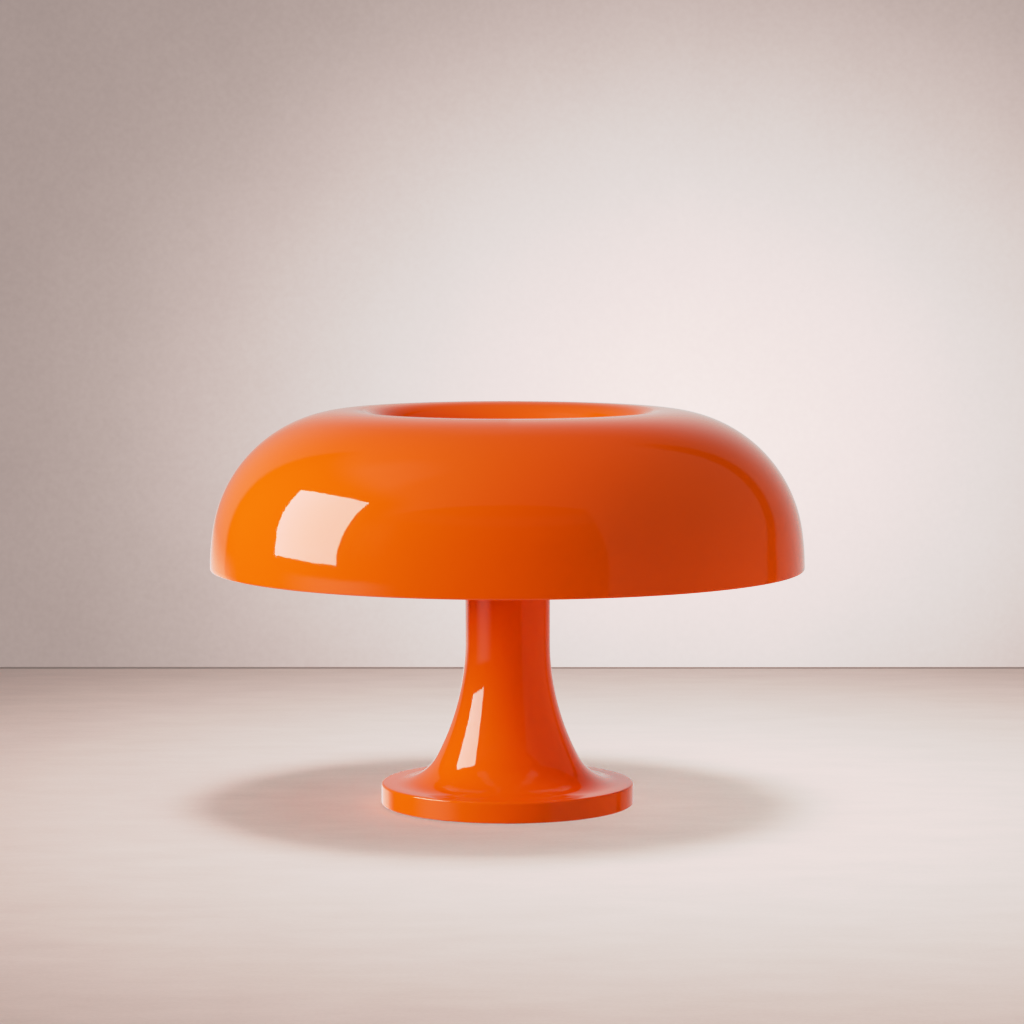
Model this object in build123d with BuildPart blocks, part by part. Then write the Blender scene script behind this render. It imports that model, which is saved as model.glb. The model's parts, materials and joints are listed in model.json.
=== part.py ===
from build123d import *
from math import atan2, cos, degrees, radians, sin, sqrt
import os

# Mushroom table lamp, in millimetres. +Z is up, the table is z = 0 and the cord inlet faces +Y.
# Heights are above the table and radii are from the lamp's axis, unless a note says otherwise.

# Shade: a moulded dome whose crest rolls over into a funnel with a flat floor.
shade_radius = 160.0
shade_wall = 3.0
shade_rise = 85.15  # rim to crest
shoulder_inset = 75.8  # rim to crest, measured inwards
side_sweep = 8.0  # degrees that the side leans in before the shoulder takes over
crest_fillet = 20.0
mouth_inset = 10.8  # crest to the corner that its fillet rounds
funnel_floor_radius = 40.0
funnel_floor_fillet = 8.0
rim_fillet = 0.8

# Stand: one moulding, from a straight neck through a trumpet flare to a flat disc foot.
stem_height = 146.0
shade_drop = 17.0  # how far the rim hangs below the stem's top
seat_rise = 20.0  # stem's top to the underside of the funnel's floor
neck_radius = 23.0
neck_bottom = 88.5
flare_sweep = 27.9  # degrees that the long upper arc of the flare turns
foot_radius = 68.3
foot_ledge = 6.9  # flat ring between the flare and the foot's edge
foot_top = 12.2
foot_fillet = 1.2
foot_gap = 1.0  # the moulding stands this far off the table, on its pads
stand_wall = 3.0

# Foot: ballast, cover, pads and the cord's inlet.
cover_thickness = 2.0
cover_screw_count = 3
cover_screw_start = 30
ballast_top = 24.0
ballast_step = 16.0  # the boss's cone starts this far inside the flare's lower edge
boss_radius = 30.0
nut_recess_depth = 7.0
nut_recess_radius = 11.0
cord_slot_width = 9.0
pad_count = 4
pad_start = 45
pad_radius = 6.0
pad_recess = 0.6
pad_inset = 11.3  # foot's bore to the pads' centres
cover_screw_inset = 20.3  # foot's bore to the screws' centres
cover_screw_length = 6.5
inlet_radius = 2.8
grommet_body = 1.0  # thickness of the rubber around the cord
grommet_lip = 0.8  # how far its flange stands out past the body
grommet_flange = 1.0

# Tie tube with its nuts, washers and seat.
tube_radius = 5.0
tube_bore = 4.0
tube_overlap = 4.0  # thread that the knob's insert holds
tube_end = 0.5  # thread that shows below the lower nut
nut_flats = 14.0
nut_thickness = 4.0
washer_thickness = 1.2
lower_washer_radius = 9.0
upper_washer_radius = 8.5
seat_neck_radius = 8.5
seat_flange_radius = 22.0
seat_flange_thickness = 3.0

# Knob that holds the shade down.
knob_radius = 17.0
knob_height = 18.0
knob_crown = 3.0
knob_flute_radius = 3.0
knob_flutes = 12
insert_radius = 7.0
insert_length = 12.0
knob_washer_radius = 15.0
knob_washer_thickness = 1.5

# Lampholder spider and the ring of terminals that hangs under it.
spider_thickness = 2.0
arm_width = 16.0
arm_reach = 50.0  # outer face of the upturned tabs
arm_bend = 2.0
holder_lift = 12.0  # stem's top to the holders' axis
tab_above_axis = 9.5
ring_height = 14.0
ring_gap = 1.0  # between the terminal ring and the stem around it
ring_bore = 6.5
ring_screw_count = 2
ring_screw_length = 8.0
lead_radius = 1.9
lead_bend = 9.5
lead_entry = 5.0

# Lampholders, with sizes along each holder's own axis measured from the tab that carries it.
bulb_angles = [45, 135, 225, 315]
holder_radius = 13.5
holder_length = 34.0
holder_waist = 1.3
holder_lip = 6.0
holder_back = 6.0
chamber_radius = 6.5
chamber_depth = 6.0
shell_wall = 0.7
shell_inset = 2.0  # the threaded shell ends this far inside the holder's mouth
contact_thickness = 0.5
contact_width = 5.0
contact_reach = 4.5

# Bulbs: small screw cap and opal globe.
cap_radius = 6.95
cap_wall = 0.5
cap_length = 23.0
tip_radius = 2.4
tip_height = 2.0
glass_radius = 22.5
glass_wall = 1.0
glass_neck_length = 26.5  # globe's centre to the straight neck
glass_grip = 8.0  # length of neck that the cap holds
bulb_reach = 52.5  # contact tip to the globe's centre

# Small screws.
screw_radius = 1.5
screw_head_radius = 2.8
screw_head_height = 1.8
holder_screw_spacing = 10.6
holder_screw_reach = 5.0

# Clearances, all on the radius.
running_fit = 0.05  # thread or shaft that turns in its hole
seat_fit = 0.05  # piece pushed into its seat
passing_fit = 0.3  # piece that only passes through, or moves past another

# Heights and radii that follow from those sizes.
rim_height = stem_height - shade_drop
crest_height = rim_height + shade_rise
crest_radius = shade_radius - shoulder_inset
floor_bottom = stem_height + seat_rise
floor_top = floor_bottom + shade_wall
stem_bore = neck_radius - stand_wall
flare_radius = foot_radius - foot_ledge
foot_bore = foot_radius - stand_wall
pad_circle = foot_bore - pad_inset
cover_screw_circle = foot_bore - cover_screw_inset
cover_top = foot_gap + cover_thickness
ballast_seat = foot_top - stand_wall
ballast_radius = foot_bore - passing_fit
inlet_height = (cover_top + ballast_seat) / 2
grommet_radius = inlet_radius + grommet_body
tube_hole = tube_radius + passing_fit
nut_recess_top = cover_top + nut_recess_depth
lower_nut_bottom = nut_recess_top - washer_thickness - nut_thickness
tube_bottom = lower_nut_bottom - tube_end
spider_top = stem_height + spider_thickness
upper_nut_bottom = spider_top + washer_thickness
seat_bottom = upper_nut_bottom + nut_thickness
knob_bottom = floor_top + knob_washer_thickness
tube_top = knob_bottom + tube_overlap
ring_radius = stem_bore - ring_gap
lead_circle = (ring_bore + ring_radius) / 2
lead_hole = lead_radius + 2 * passing_fit
holder_height = stem_height + holder_lift
holder_mouth = arm_reach + holder_length
chamber_start = arm_reach + holder_back
shell_start = chamber_start + chamber_depth
shell_end = holder_mouth - shell_inset
shell_bore = cap_radius + passing_fit
shell_radius = shell_bore + shell_wall
tip_end = shell_start
cap_start = tip_end + tip_height
cap_end = cap_start + cap_length
glass_centre = tip_end + bulb_reach
glass_neck_radius = cap_radius - cap_wall - seat_fit


def two_arc_radii(inset, rise, sweep):
    """Radii of two tangent arcs that turn upright into level over this inset and rise.

    The first arc turns through sweep degrees, and the second through the rest of 90.
    """
    s, c = sin(radians(sweep)), cos(radians(sweep))
    first = (inset - c * rise / (1 - s)) / ((1 - c) - c * s / (1 - s))
    return first, (rise - first * s) / (1 - s)


def upright_plane(angle, height=0):
    """Upright plane through the lamp's axis: local x runs outwards and local y up from height."""
    x, y = cos(radians(angle)), sin(radians(angle))
    return Plane(origin=(0, 0, height), x_dir=(x, y, 0), z_dir=(y, -x, 0))


def facing_plane(angle, distance, height):
    """Plane that faces outwards at this distance from the lamp's axis, with local y up."""
    x, y = cos(radians(angle)), sin(radians(angle))
    return Plane(origin=(distance * x, distance * y, height), x_dir=(-y, x, 0), z_dir=(x, y, 0))


def outward_axis(angle, height):
    return Axis((0, 0, height), (cos(radians(angle)), sin(radians(angle)), 0))


def arched_notch(radius):
    """Round-topped notch about the cord's inlet, down to the foot's lower edge."""
    Circle(radius)
    Rectangle(2 * radius, inlet_height - foot_gap, align=(Align.CENTER, Align.MAX))


def write_piece(piece, name):
    piece.part.label = name
    export_step(piece.part, f"parts/{name}.step")


os.makedirs("parts", exist_ok=True)

# Shade shell: the outer line from rim to floor hole, thickened inwards and turned.
with BuildPart() as shade_shell:
    side_arc, shoulder_arc = two_arc_radii(shoulder_inset, shade_rise, side_sweep)
    with BuildSketch(Plane.XZ) as shade_section:
        with BuildLine():
            side = JernArc((shade_radius, rim_height), (0, 1), side_arc, side_sweep)
            shoulder = JernArc(side @ 1, side % 1, shoulder_arc, 90 - side_sweep)
            FilletPolyline(
                shoulder @ 1,
                (crest_radius - mouth_inset, crest_height),
                (funnel_floor_radius, floor_top),
                (tube_hole, floor_top),
                radius=[crest_fillet, funnel_floor_fillet],
            )
            offset(amount=shade_wall, side=Side.LEFT)
        make_face()
        fillet(shade_section.vertices().group_by(Axis.Y)[0], rim_fillet)
    revolve(axis=Axis.Z)
write_piece(shade_shell, "shade_shell")

# Stand shell: neck, flare and foot in one moulding, open at the top and the bottom.
with BuildPart() as stand_shell:
    long_arc, short_arc = two_arc_radii(flare_radius - neck_radius, neck_bottom - foot_top, flare_sweep)
    with BuildSketch(Plane.XZ):
        with BuildLine():
            neck = Line((neck_radius, stem_height), (neck_radius, neck_bottom))
            flare = JernArc(neck @ 1, neck % 1, long_arc, flare_sweep)
            foot_curve = JernArc(flare @ 1, flare % 1, short_arc, 90 - flare_sweep)
            FilletPolyline(
                foot_curve @ 1, (foot_radius, foot_top), (foot_radius, foot_gap), radius=foot_fillet
            )
            Polyline(
                (foot_radius, foot_gap),
                (foot_bore, foot_gap),
                (foot_bore, ballast_seat),
                (flare_radius, ballast_seat),
            )
            inner_curve = JernArc(
                (flare_radius, ballast_seat), (-1, 0), short_arc + stand_wall, flare_sweep - 90
            )
            inner_flare = JernArc(inner_curve @ 1, inner_curve % 1, long_arc + stand_wall, -flare_sweep)
            Polyline(inner_flare @ 1, (stem_bore, stem_height), (neck_radius, stem_height))
        make_face()
    revolve(axis=Axis.Z)
    with BuildSketch(facing_plane(90, foot_bore - stand_wall, inlet_height)):
        arched_notch(grommet_radius + seat_fit)
    extrude(amount=3 * stand_wall, mode=Mode.SUBTRACT)
write_piece(stand_shell, "stand_shell")

# Ballast: a cast disc with a coned boss, slotted to the back for the cord.
with BuildPart() as ballast:
    with BuildSketch(Plane.XZ):
        with BuildLine():
            Polyline(
                (tube_hole, ballast_top),
                (boss_radius, ballast_top),
                (flare_radius - ballast_step, ballast_seat),
                (ballast_radius, ballast_seat),
                (ballast_radius, cover_top),
                (nut_recess_radius, cover_top),
                (nut_recess_radius, nut_recess_top),
                (tube_hole, nut_recess_top),
                close=True,
            )
        make_face()
    revolve(axis=Axis.Z)
    with BuildSketch(Plane.XY.offset(cover_top)):
        with Locations((0, lower_washer_radius)):
            Rectangle(cord_slot_width, ballast_radius, align=(Align.CENTER, Align.MIN))
    extrude(amount=ballast_top, mode=Mode.SUBTRACT)
    with BuildSketch(Plane.XY.offset(cover_top)):
        with PolarLocations(cover_screw_circle, cover_screw_count, start_angle=cover_screw_start):
            Circle(screw_radius + seat_fit)
    extrude(amount=cover_screw_length, mode=Mode.SUBTRACT)
write_piece(ballast, "ballast")

# Bottom cover: a disc that closes the foot, countersunk for its screws and recessed for its pads.
with BuildPart() as bottom_cover:
    with BuildSketch(Plane.XY.offset(foot_gap)):
        Circle(foot_bore - passing_fit)
    extrude(amount=cover_thickness)
    with BuildSketch(Plane.XY.offset(foot_gap)):
        with PolarLocations(pad_circle, pad_count, start_angle=pad_start):
            Circle(pad_radius + seat_fit)
    extrude(amount=pad_recess, mode=Mode.SUBTRACT)
    with Locations(Plane(origin=(0, 0, foot_gap), x_dir=(1, 0, 0), z_dir=(0, 0, -1))):
        with PolarLocations(cover_screw_circle, cover_screw_count, start_angle=-cover_screw_start):
            CounterSinkHole(
                screw_radius + seat_fit, screw_head_radius + seat_fit, counter_sink_angle=90
            )
write_piece(bottom_cover, "bottom_cover")

# Countersunk cover screws, flush with the cover's underside.
with BuildPart() as cover_screws:
    for angle in range(cover_screw_start, cover_screw_start + 360, 360 // cover_screw_count):
        with BuildSketch(upright_plane(angle)):
            with BuildLine():
                Polyline(
                    (cover_screw_circle, foot_gap),
                    (cover_screw_circle + screw_head_radius, foot_gap),
                    (cover_screw_circle + screw_radius, foot_gap + screw_head_radius - screw_radius),
                    (cover_screw_circle + screw_radius, foot_gap + cover_screw_length),
                    (cover_screw_circle, foot_gap + cover_screw_length),
                    close=True,
                )
            make_face()
        centre = (cover_screw_circle * cos(radians(angle)), cover_screw_circle * sin(radians(angle)), 0)
        revolve(axis=Axis(centre, (0, 0, 1)))
write_piece(cover_screws, "cover_screws")

# Rubber pads, let into the cover.
with BuildPart() as feet:
    with BuildSketch():
        with PolarLocations(pad_circle, pad_count, start_angle=pad_start):
            Circle(pad_radius)
    extrude(amount=foot_gap + pad_recess)
write_piece(feet, "feet")

# Cord grommet: a rubber bush that slides up into the notch, with its flange outside the foot.
with BuildPart() as cord_grommet:
    bush_end = sqrt(foot_bore**2 - grommet_radius**2)
    with BuildSketch(facing_plane(90, bush_end, inlet_height)):
        arched_notch(grommet_radius)
    extrude(amount=foot_radius - bush_end)
    with BuildSketch(facing_plane(90, foot_radius, inlet_height)):
        arched_notch(grommet_radius + grommet_lip)
    extrude(amount=grommet_flange)
    with Locations(facing_plane(90, foot_radius + grommet_flange, inlet_height)):
        Hole(inlet_radius)
write_piece(cord_grommet, "cord_grommet")

# Tie tube: the threaded tube that clamps ballast, stand, spider and seat together.
with BuildPart() as tie_tube:
    with BuildSketch(Plane.XY.offset(tube_bottom)):
        Circle(tube_radius)
        Circle(tube_bore, mode=Mode.SUBTRACT)
    extrude(amount=tube_top - tube_bottom)
write_piece(tie_tube, "tie_tube")

for name, height in (("lower_nut", lower_nut_bottom), ("upper_nut", upper_nut_bottom)):
    with BuildPart() as nut:
        with BuildSketch(Plane.XY.offset(height)):
            RegularPolygon(nut_flats / 2, 6, major_radius=False)
            Circle(tube_radius + seat_fit, mode=Mode.SUBTRACT)
        extrude(amount=nut_thickness)
    write_piece(nut, name)

for name, height, radius in (
    ("lower_washer", nut_recess_top - washer_thickness, lower_washer_radius),
    ("upper_washer", spider_top, upper_washer_radius),
):
    with BuildPart() as washer:
        with BuildSketch(Plane.XY.offset(height)):
            Circle(radius)
            Circle(tube_hole, mode=Mode.SUBTRACT)
        extrude(amount=washer_thickness)
    write_piece(washer, name)

# Shade seat: a turned collar on the upper nut, whose flange carries the funnel's floor.
with BuildPart() as shade_seat:
    flange_bottom = floor_bottom - seat_flange_thickness
    with BuildSketch(Plane.XZ):
        with BuildLine():
            Line((tube_radius + seat_fit, seat_bottom), (seat_neck_radius, seat_bottom))
            FilletPolyline(
                (seat_neck_radius, seat_bottom),
                (seat_neck_radius, flange_bottom),
                (seat_flange_radius, flange_bottom),
                radius=seat_flange_thickness,
            )
            Polyline(
                (seat_flange_radius, flange_bottom),
                (seat_flange_radius, floor_bottom),
                (tube_radius + seat_fit, floor_bottom),
                (tube_radius + seat_fit, seat_bottom),
            )
        make_face()
    revolve(axis=Axis.Z)
write_piece(shade_seat, "shade_seat")

# Knob washer, on the funnel's floor.
with BuildPart() as knob_washer:
    with BuildSketch(Plane.XY.offset(floor_top)):
        Circle(knob_washer_radius)
        Circle(tube_hole, mode=Mode.SUBTRACT)
    extrude(amount=knob_washer_thickness)
write_piece(knob_washer, "knob_washer")

# Top knob: a crowned hand nut with a fluted grip, bored from below for its insert.
with BuildPart() as top_knob:
    knob_top = knob_bottom + knob_height
    crown_radius = (knob_radius**2 + knob_crown**2) / (2 * knob_crown)
    crown_sweep = degrees(2 * atan2(knob_crown, knob_radius))
    with BuildSketch(Plane.XZ) as knob_section:
        with BuildLine():
            crown = JernArc((0, knob_top), (1, 0), crown_radius, -crown_sweep)
            Polyline(crown @ 1, (knob_radius, knob_bottom), (0, knob_bottom), (0, knob_top))
        make_face()
        fillet(knob_section.vertices().group_by(Axis.X)[-1].sort_by(Axis.Y)[-1], knob_crown / 2)
    revolve(axis=Axis.Z)
    with BuildSketch(Plane.XY.offset(knob_bottom)):
        with PolarLocations(knob_radius + knob_flute_radius / 2, knob_flutes):
            Circle(knob_flute_radius)
    extrude(amount=knob_height, mode=Mode.SUBTRACT)
    with BuildSketch(Plane.XY.offset(knob_bottom)):
        Circle(insert_radius + seat_fit)
    extrude(amount=insert_length, mode=Mode.SUBTRACT)
write_piece(top_knob, "top_knob")

with BuildPart() as knob_insert:
    with BuildSketch(Plane.XY.offset(knob_bottom)):
        Circle(insert_radius)
        Circle(tube_radius + running_fit, mode=Mode.SUBTRACT)
    extrude(amount=insert_length)
write_piece(knob_insert, "knob_insert")

# Lampholder spider: a pressed hub with bent arms, each ending in an upturned tab.
with BuildPart() as lampholder_spider:
    with BuildSketch(Plane.XY.offset(stem_height)):
        Circle(neck_radius)
    extrude(amount=spider_thickness)
    for angle in bulb_angles:
        with BuildSketch(upright_plane(angle)):
            with BuildLine():
                FilletPolyline(
                    (tube_hole, stem_height),
                    (arm_reach, stem_height),
                    (arm_reach, holder_height + tab_above_axis),
                    radius=arm_bend + spider_thickness,
                )
                offset(amount=spider_thickness, side=Side.LEFT)
            make_face()
        extrude(amount=arm_width / 2, both=True)
        with Locations(facing_plane(angle, arm_reach, holder_height)):
            Hole(lead_hole, depth=2 * spider_thickness)
            with GridLocations(0, holder_screw_spacing, 1, 2):
                Hole(screw_radius + passing_fit, depth=2 * spider_thickness)
    with Locations(Plane.XY.offset(spider_top)):
        Hole(tube_hole, depth=spider_thickness)
        with PolarLocations(lead_circle, len(bulb_angles), start_angle=bulb_angles[0]):
            Hole(lead_hole, depth=spider_thickness)
        with PolarLocations(lead_circle, ring_screw_count):
            Hole(screw_radius + passing_fit, depth=spider_thickness)
write_piece(lampholder_spider, "lampholder_spider")

# Terminal ring: hangs under the hub inside the stem, with a lead entry under each arm.
with BuildPart() as terminal_ring:
    with BuildSketch(Plane.XY.offset(stem_height - ring_height)):
        Circle(ring_radius)
        Circle(ring_bore, mode=Mode.SUBTRACT)
    extrude(amount=ring_height)
    with Locations(Plane.XY.offset(stem_height)):
        with PolarLocations(lead_circle, len(bulb_angles), start_angle=bulb_angles[0]):
            Hole(lead_radius + seat_fit, depth=lead_entry)
        with PolarLocations(lead_circle, ring_screw_count):
            Hole(screw_radius + seat_fit, depth=ring_screw_length)
    with Locations(Plane(origin=(0, lead_circle, stem_height - ring_height), z_dir=(0, 0, -1))):
        Hole(inlet_radius, depth=ring_height / 2)
    for angle in bulb_angles:
        with BuildSketch(facing_plane(angle, ring_radius, stem_height - lead_entry / 2)):
            Circle(screw_radius + seat_fit)
        extrude(amount=-(ring_radius - lead_circle), mode=Mode.SUBTRACT)
write_piece(terminal_ring, "terminal_ring")

with BuildPart() as terminal_screws:
    for angle in bulb_angles:
        with BuildSketch(facing_plane(angle, ring_radius, stem_height - lead_entry / 2)):
            Circle(screw_radius)
        extrude(amount=-(ring_radius - lead_circle - lead_radius))
write_piece(terminal_screws, "terminal_screws")

with BuildPart() as ring_screws:
    with BuildSketch(Plane.XY.offset(spider_top)):
        with PolarLocations(lead_circle, ring_screw_count):
            Circle(screw_head_radius)
    extrude(amount=screw_head_height)
    with BuildSketch(Plane.XY.offset(spider_top)):
        with PolarLocations(lead_circle, ring_screw_count):
            Circle(screw_radius)
    extrude(amount=-ring_screw_length)
write_piece(ring_screws, "ring_screws")

# Leads: up out of the terminal ring, over in one bend, and out through each tab into its holder.
for number, angle in enumerate(bulb_angles, 1):
    with BuildPart() as holder_lead:
        with BuildLine(upright_plane(angle)) as route:
            FilletPolyline(
                (lead_circle, stem_height - lead_entry),
                (lead_circle, holder_height),
                (arm_reach + holder_back, holder_height),
                radius=lead_bend,
            )
        with BuildSketch(Plane(origin=route.line @ 0, z_dir=route.line % 0)):
            Circle(lead_radius)
        sweep()
    write_piece(holder_lead, f"holder_lead_{number}")

# Lampholders: a waisted body with a blind back, a contact chamber and a bore for the shell.
for number, angle in enumerate(bulb_angles, 1):
    with BuildPart() as holder:
        with BuildSketch(upright_plane(angle, holder_height)):
            with BuildLine():
                Polyline(
                    (arm_reach, lead_radius + seat_fit),
                    (arm_reach, holder_radius),
                    (shell_start - holder_waist, holder_radius),
                    (shell_start, holder_radius - holder_waist),
                    (holder_mouth - holder_lip - holder_waist, holder_radius - holder_waist),
                    (holder_mouth - holder_lip, holder_radius),
                    (holder_mouth, holder_radius),
                    (holder_mouth, shell_radius + seat_fit),
                    (shell_start, shell_radius + seat_fit),
                    (shell_start, chamber_radius),
                    (chamber_start, chamber_radius),
                    (chamber_start, lead_radius + seat_fit),
                    close=True,
                )
            make_face()
        revolve(axis=outward_axis(angle, holder_height))
        with BuildSketch(facing_plane(angle, arm_reach, holder_height)):
            with GridLocations(0, holder_screw_spacing, 1, 2):
                Circle(screw_radius + seat_fit)
        extrude(amount=holder_screw_reach, mode=Mode.SUBTRACT)
    write_piece(holder, f"holder_{number}")

    with BuildPart() as holder_shell:
        with BuildSketch(facing_plane(angle, shell_start, holder_height)):
            Circle(shell_radius)
            Circle(shell_bore, mode=Mode.SUBTRACT)
        extrude(amount=shell_end - shell_start)
    write_piece(holder_shell, f"holder_shell_{number}")

    with BuildPart() as holder_contact:
        with BuildSketch(upright_plane(angle, holder_height)):
            with BuildLine():
                FilletPolyline(
                    (chamber_start, -contact_reach),
                    (chamber_start, contact_reach),
                    (tip_end, tip_radius),
                    (tip_end, -tip_radius),
                    radius=2 * contact_thickness,
                )
                offset(amount=contact_thickness, side=Side.RIGHT)
            make_face()
        extrude(amount=contact_width / 2, both=True)
        with BuildSketch(facing_plane(angle, chamber_start, holder_height)):
            Circle(lead_radius + seat_fit)
        extrude(amount=contact_thickness, mode=Mode.SUBTRACT)
    write_piece(holder_contact, f"holder_contact_{number}")

with BuildPart() as holder_screws:
    for angle in bulb_angles:
        with BuildSketch(facing_plane(angle, arm_reach - spider_thickness, holder_height)):
            with GridLocations(0, holder_screw_spacing, 1, 2):
                Circle(screw_head_radius)
        extrude(amount=-screw_head_height)
        with BuildSketch(facing_plane(angle, arm_reach - spider_thickness, holder_height)):
            with GridLocations(0, holder_screw_spacing, 1, 2):
                Circle(screw_radius)
        extrude(amount=spider_thickness + holder_screw_reach)
write_piece(holder_screws, "holder_screws")

# Bulbs: contact tip, drawn cap and blown globe, whose neck runs into the sphere on a fillet.
neck_fillet = (
    glass_neck_length**2 / (glass_radius - glass_neck_radius) - glass_radius - glass_neck_radius
) / 2
neck_sweep = 90 - degrees(atan2(glass_neck_radius + neck_fillet, glass_neck_length))
for number, angle in enumerate(bulb_angles, 1):
    with BuildPart() as bulb_tip:
        with BuildSketch(upright_plane(angle, holder_height)):
            with BuildLine():
                Polyline(
                    (tip_end, 0),
                    (tip_end, tip_radius / 2),
                    (tip_end + tip_height / 2, tip_radius),
                    (cap_start + cap_wall, tip_radius),
                    (cap_start + cap_wall, 0),
                    close=True,
                )
            make_face()
        revolve(axis=outward_axis(angle, holder_height))
    write_piece(bulb_tip, f"bulb_tip_{number}")

    with BuildPart() as bulb_cap:
        with BuildSketch(upright_plane(angle, holder_height)):
            with BuildLine():
                Polyline(
                    (cap_start, tip_radius),
                    (cap_start, cap_radius / 2),
                    (cap_start + cap_radius / 2, cap_radius),
                    (cap_end, cap_radius),
                )
                offset(amount=cap_wall, side=Side.RIGHT)
            make_face()
        revolve(axis=outward_axis(angle, holder_height))
    write_piece(bulb_cap, f"bulb_cap_{number}")

    with BuildPart() as bulb_glass:
        with BuildSketch(upright_plane(angle, holder_height)):
            with BuildLine():
                start = (cap_end - glass_grip, glass_neck_radius)
                neck_line = Line(start, (glass_centre - glass_neck_length, glass_neck_radius))
                swell = JernArc(neck_line @ 1, (1, 0), neck_fillet, neck_sweep)
                globe = JernArc(swell @ 1, swell % 1, glass_radius, -90 - neck_sweep)
                offset(amount=glass_wall, side=Side.RIGHT)
            make_face()
        revolve(axis=outward_axis(angle, holder_height))
    write_piece(bulb_glass, f"bulb_glass_{number}")
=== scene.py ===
# Mushroom table lamp: its finished look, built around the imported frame.
# Metres, +Z up, lamp axis on x = y = 0, cord inlet at the back on +Y.
import json
import math

import bmesh
import bpy
from mathutils import Matrix, Vector


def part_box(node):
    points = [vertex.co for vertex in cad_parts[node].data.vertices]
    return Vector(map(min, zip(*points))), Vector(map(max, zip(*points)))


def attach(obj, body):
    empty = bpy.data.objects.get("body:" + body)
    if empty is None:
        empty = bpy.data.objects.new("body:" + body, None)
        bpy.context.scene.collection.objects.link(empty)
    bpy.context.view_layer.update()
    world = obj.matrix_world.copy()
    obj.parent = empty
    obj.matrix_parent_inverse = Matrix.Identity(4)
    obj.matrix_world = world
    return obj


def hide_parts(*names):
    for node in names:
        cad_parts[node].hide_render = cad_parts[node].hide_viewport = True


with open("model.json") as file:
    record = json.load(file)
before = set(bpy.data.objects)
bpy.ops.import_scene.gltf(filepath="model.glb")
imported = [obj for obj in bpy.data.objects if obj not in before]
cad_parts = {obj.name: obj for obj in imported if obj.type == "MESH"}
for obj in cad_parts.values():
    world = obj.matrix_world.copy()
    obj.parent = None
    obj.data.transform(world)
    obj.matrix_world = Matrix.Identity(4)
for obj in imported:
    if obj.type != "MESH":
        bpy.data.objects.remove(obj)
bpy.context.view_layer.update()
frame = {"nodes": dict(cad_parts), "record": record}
nodes = frame["nodes"]
print("frame loaded:", len(nodes), "nodes")


class Wire:
    # one socket of a node tree: arithmetic on it adds Math nodes
    def __init__(self, tree, socket=None):
        self.tree = tree
        self.socket = socket

    def node(self, kind, settings=None, inputs=None, output=0):
        made = self.tree.nodes.new(kind)
        for name, value in (settings or {}).items():
            setattr(made, name, value)
        for name, value in (inputs or {}).items():
            target = made.inputs[name]
            if isinstance(value, Wire):
                self.tree.links.new(value.socket, target)
            else:
                target.default_value = value
        return Wire(self.tree, made.outputs[output] if made.outputs else None)

    def maths(self, operation, *values):
        inputs = {place: value for place, value in enumerate(values)}
        return self.node("ShaderNodeMath", {"operation": operation}, inputs)

    def __add__(self, other):
        return self.maths("ADD", self, other)

    def __sub__(self, other):
        return self.maths("SUBTRACT", self, other)

    def __mul__(self, other):
        return self.maths("MULTIPLY", self, other)

    def __truediv__(self, other):
        return self.maths("DIVIDE", self, other)

    def __pow__(self, other):
        return self.maths("POWER", self, other)

    def __radd__(self, other):
        return self.maths("ADD", other, self)

    def __rsub__(self, other):
        return self.maths("SUBTRACT", other, self)

    def __rmul__(self, other):
        return self.maths("MULTIPLY", other, self)

    def split(self):
        # the three parts of a vector
        first = self.node("ShaderNodeSeparateXYZ", None, {"Vector": self})
        return [Wire(self.tree, part) for part in first.socket.node.outputs]

    def clamp(self, low=0.0, high=1.0):
        return self.maths("MAXIMUM", self.maths("MINIMUM", self, high), low)

    def between(self, low, high):
        # 0 below low, 1 above high, smooth in between
        return self.node(
            "ShaderNodeMapRange",
            {"interpolation_type": "SMOOTHSTEP"},
            {"Value": self, "From Min": low, "From Max": high},
        )

    def mixed(self, first, second):
        # colour between first and second by this value
        return self.node("ShaderNodeMix", {"data_type": "RGBA"}, {0: self, 6: first, 7: second}, 2)


def startMaterial(name):
    material = bpy.data.materials.new(name)
    material.use_nodes = True
    material.node_tree.nodes.clear()
    return material, Wire(material.node_tree)


def finishMaterial(wire, shader):
    wire.node("ShaderNodeOutputMaterial", None, {"Surface": shader})


def objectPlace(wire, scale=(1, 1, 1)):
    place = wire.node("ShaderNodeTexCoord", None, None, "Object")
    return wire.node("ShaderNodeMapping", None, {"Vector": place, "Scale": scale})


def noise(wire, place, size, detail=2.0, roughness=0.5):
    # size is the width of one patch in metres
    settings = {"Vector": place, "Scale": 1 / size, "Detail": detail, "Roughness": roughness}
    return wire.node("ShaderNodeTexNoise", None, settings, "Fac")


def bump(wire, height, distance):
    return wire.node("ShaderNodeBump", None, {"Height": height, "Distance": distance}, "Normal")


def aroundAxis(wire, place):
    # angle about the lamp's axis, distance from it, and height
    x, y, z = place.split()
    return wire.maths("ARCTAN2", y, x), (x * x + y * y) ** 0.5, z


orangeGloss = {
    "deep": (0.90, 0.083, 0.0008),
    "clear": (0.95, 0.099, 0.0012),
    "pigmentCloud": 0.16,
    "cloudShare": 0.9,
    "fleck": 0.0022,
    "fleckShare": 0.25,
    "gloss": 0.03,
    "haze": 0.03,
    "peel": 0.006,
    "peelDepth": 0.00002,
    "streaks": 150,
    "streakGrain": 14,
    "streakRange": (0.45, 0.8),
    "streakDepth": 0.05,
    "streakShare": 0.6,
    "ior": 1.5,
}


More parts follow.
